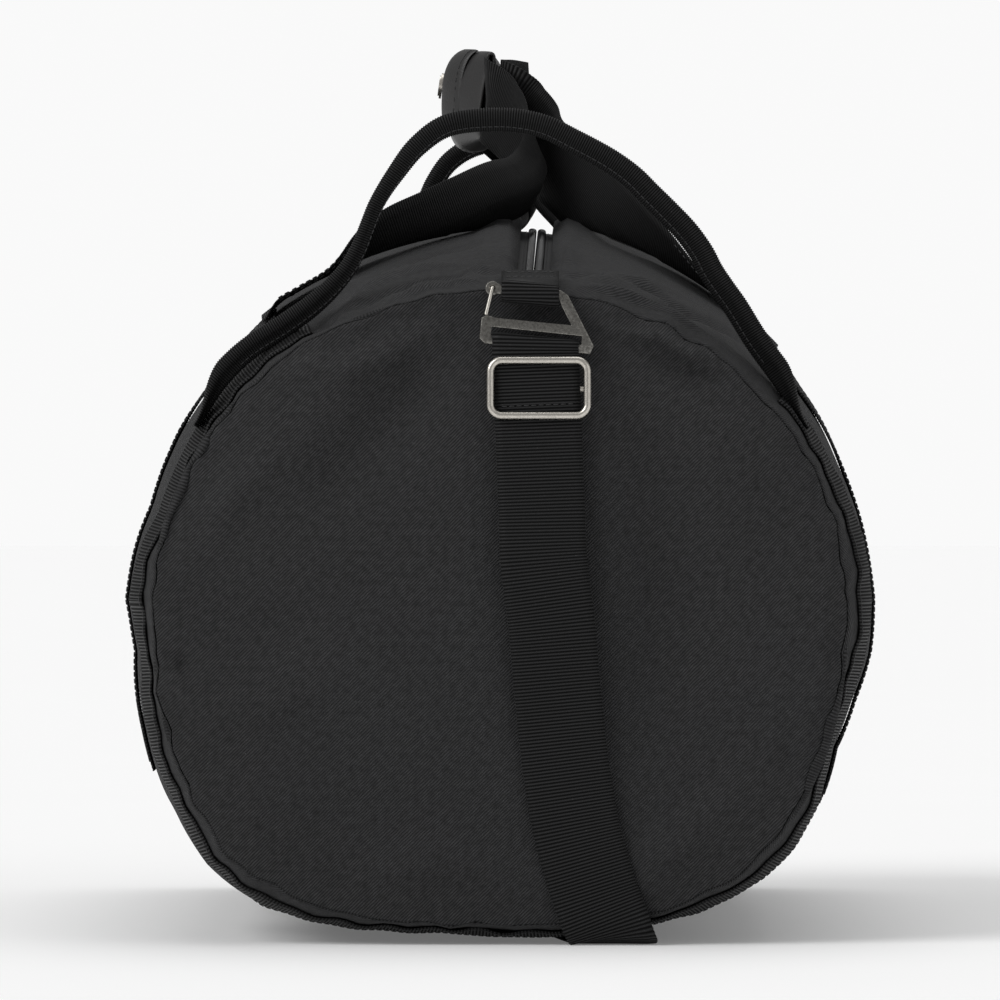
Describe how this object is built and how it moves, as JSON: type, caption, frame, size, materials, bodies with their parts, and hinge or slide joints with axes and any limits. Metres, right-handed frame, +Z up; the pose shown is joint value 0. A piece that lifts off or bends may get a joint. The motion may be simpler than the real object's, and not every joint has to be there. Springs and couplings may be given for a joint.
{
  "type": "duffel bag",
  "caption": "Round-barrel duffel bag with zip mouth, webbing grab handles at the ends, two carry handles with a snap wrap, and a clip-on shoulder strap with slide adjuster.",
  "frame": {"origin": "on the floor, under the middle of the bag's box", "axes": "+Z up; +Y along the bag from the near end to the far end; +X to the right seen from the near end"},
  "size_m": [0.3408, 0.5774, 0.4055],
  "materials": {
    "body_cloth": "fine twill polyester, matt",
    "end_cloth": "fine twill polyester, matt",
    "binding": "woven binding tape",
    "narrow_webbing": "ribbed polyester webbing",
    "wide_webbing": "ribbed polyester webbing, soft sheen",
    "flap_leather": "smooth leather, satin",
    "zip_tape": "knitted tape",
    "zip_coil": "glossy nylon coil",
    "gunmetal": "dark antique nickel, worn",
    "nickel": "brushed nickel plate"
  },
  "bodies": {
    "bag": {"body_panel": "body_cloth", "near_end_panel": "end_cloth", "far_end_panel": "end_cloth", "near_seam_tape": "binding", "far_seam_tape": "binding", "near_girth_webbing": "narrow_webbing", "far_girth_webbing": "narrow_webbing", "left_near_band": "wide_webbing", "left_far_band": "wide_webbing", "right_near_band": "wide_webbing", "right_far_band": "wide_webbing", "zip_tape_left": "zip_tape", "zip_tape_right": "zip_tape", "zip_coil_left": "zip_coil", "zip_coil_right": "zip_coil", "near_zip_stop": "gunmetal", "far_zip_stop": "gunmetal", "near_strap_loop": "narrow_webbing", "far_strap_loop": "narrow_webbing", "shoulder_strap": "wide_webbing"},
    "near_grab": {"near_grab_handle": "narrow_webbing"},
    "far_grab": {"far_grab_handle": "narrow_webbing"},
    "left_handle": {"left_carry_handle": "wide_webbing", "handle_wrap": "wide_webbing", "snap_stud": "nickel"},
    "right_handle": {"right_carry_handle": "wide_webbing"},
    "flap": {"wrap_flap": "flap_leather", "snap_cap": "nickel"},
    "slider": {"zip_slider": "gunmetal"},
    "pull": {"zip_pull": "gunmetal"},
    "near_hook": {"near_hook": "gunmetal", "near_strap_end": "wide_webbing"},
    "far_hook": {"far_hook": "gunmetal", "far_strap_end": "wide_webbing"},
    "near_gate": {"near_hook_gate": "nickel"},
    "far_gate": {"far_hook_gate": "nickel"},
    "adjuster": {"adjuster_frame": "nickel", "adjuster_bar": "nickel"}
  },
  "joints": [
    {"name": "near_grab_swing", "type": "hinge", "parent": "bag", "child": "near_grab", "pos_m": [-0.083, -0.243, 0.284], "axis": [0.9946, 0, -0.1034], "range_deg": [-25, 70]},
    {"name": "far_grab_swing", "type": "hinge", "parent": "bag", "child": "far_grab", "pos_m": [-0.083, 0.243, 0.284], "axis": [-0.9946, 0, 0.1034], "range_deg": [-25, 70]},
    {"name": "left_handle_swing", "type": "hinge", "parent": "bag", "child": "left_handle", "pos_m": [-0.115, 0, 0.2825], "axis": [0, -1, 0], "range_deg": [0, 140]},
    {"name": "right_handle_swing", "type": "hinge", "parent": "bag", "child": "right_handle", "pos_m": [0.133, 0, 0.2665], "axis": [0, 1, 0], "range_deg": [0, 140]},
    {"name": "wrap_flap_open", "type": "hinge", "parent": "left_handle", "child": "flap", "pos_m": [-0.01543, 0, 0.40462], "axis": [0, 1, 0], "range_deg": [0, 110]},
    {"name": "zip_travel", "type": "hinge", "parent": "bag", "child": "slider", "pos_m": [-0.07493, 0, -0.63899], "axis": [0.9954, 0, -0.0958], "range_deg": [0, 25.8]},
    {"name": "zip_pull_swing", "type": "hinge", "parent": "slider", "child": "pull", "pos_m": [0.01602, 0.20154, 0.30556], "axis": [0.9954, 0, -0.0958], "range_deg": [0, 150]},
    {"name": "near_hook_tilt", "type": "hinge", "parent": "bag", "child": "near_hook", "pos_m": [0.016, -0.274, 0.2845], "axis": [-1, 0, 0], "range_deg": [0, 25]},
    {"name": "far_hook_tilt", "type": "hinge", "parent": "bag", "child": "far_hook", "pos_m": [0.016, 0.274, 0.2845], "axis": [1, 0, 0], "range_deg": [0, 25]},
    {"name": "near_gate_swing", "type": "hinge", "parent": "near_hook", "child": "near_gate", "pos_m": [-0.00329, -0.27379, 0.28664], "axis": [0, 0.9954, -0.0958], "range_deg": [-28, 0], "stiffness_Nm_per_rad": 0.02, "springref_deg": 5.73},
    {"name": "far_gate_swing", "type": "hinge", "parent": "far_hook", "child": "far_gate", "pos_m": [0.03529, 0.27379, 0.28664], "axis": [0, -0.9954, -0.0958], "range_deg": [-28, 0], "stiffness_Nm_per_rad": 0.02, "springref_deg": 5.73},
    {"name": "adjuster_slide", "type": "slide", "parent": "near_hook", "child": "adjuster", "axis": [0.04, -0.0958, -0.9946], "range_m": [0, 0.05]}
  ]
}
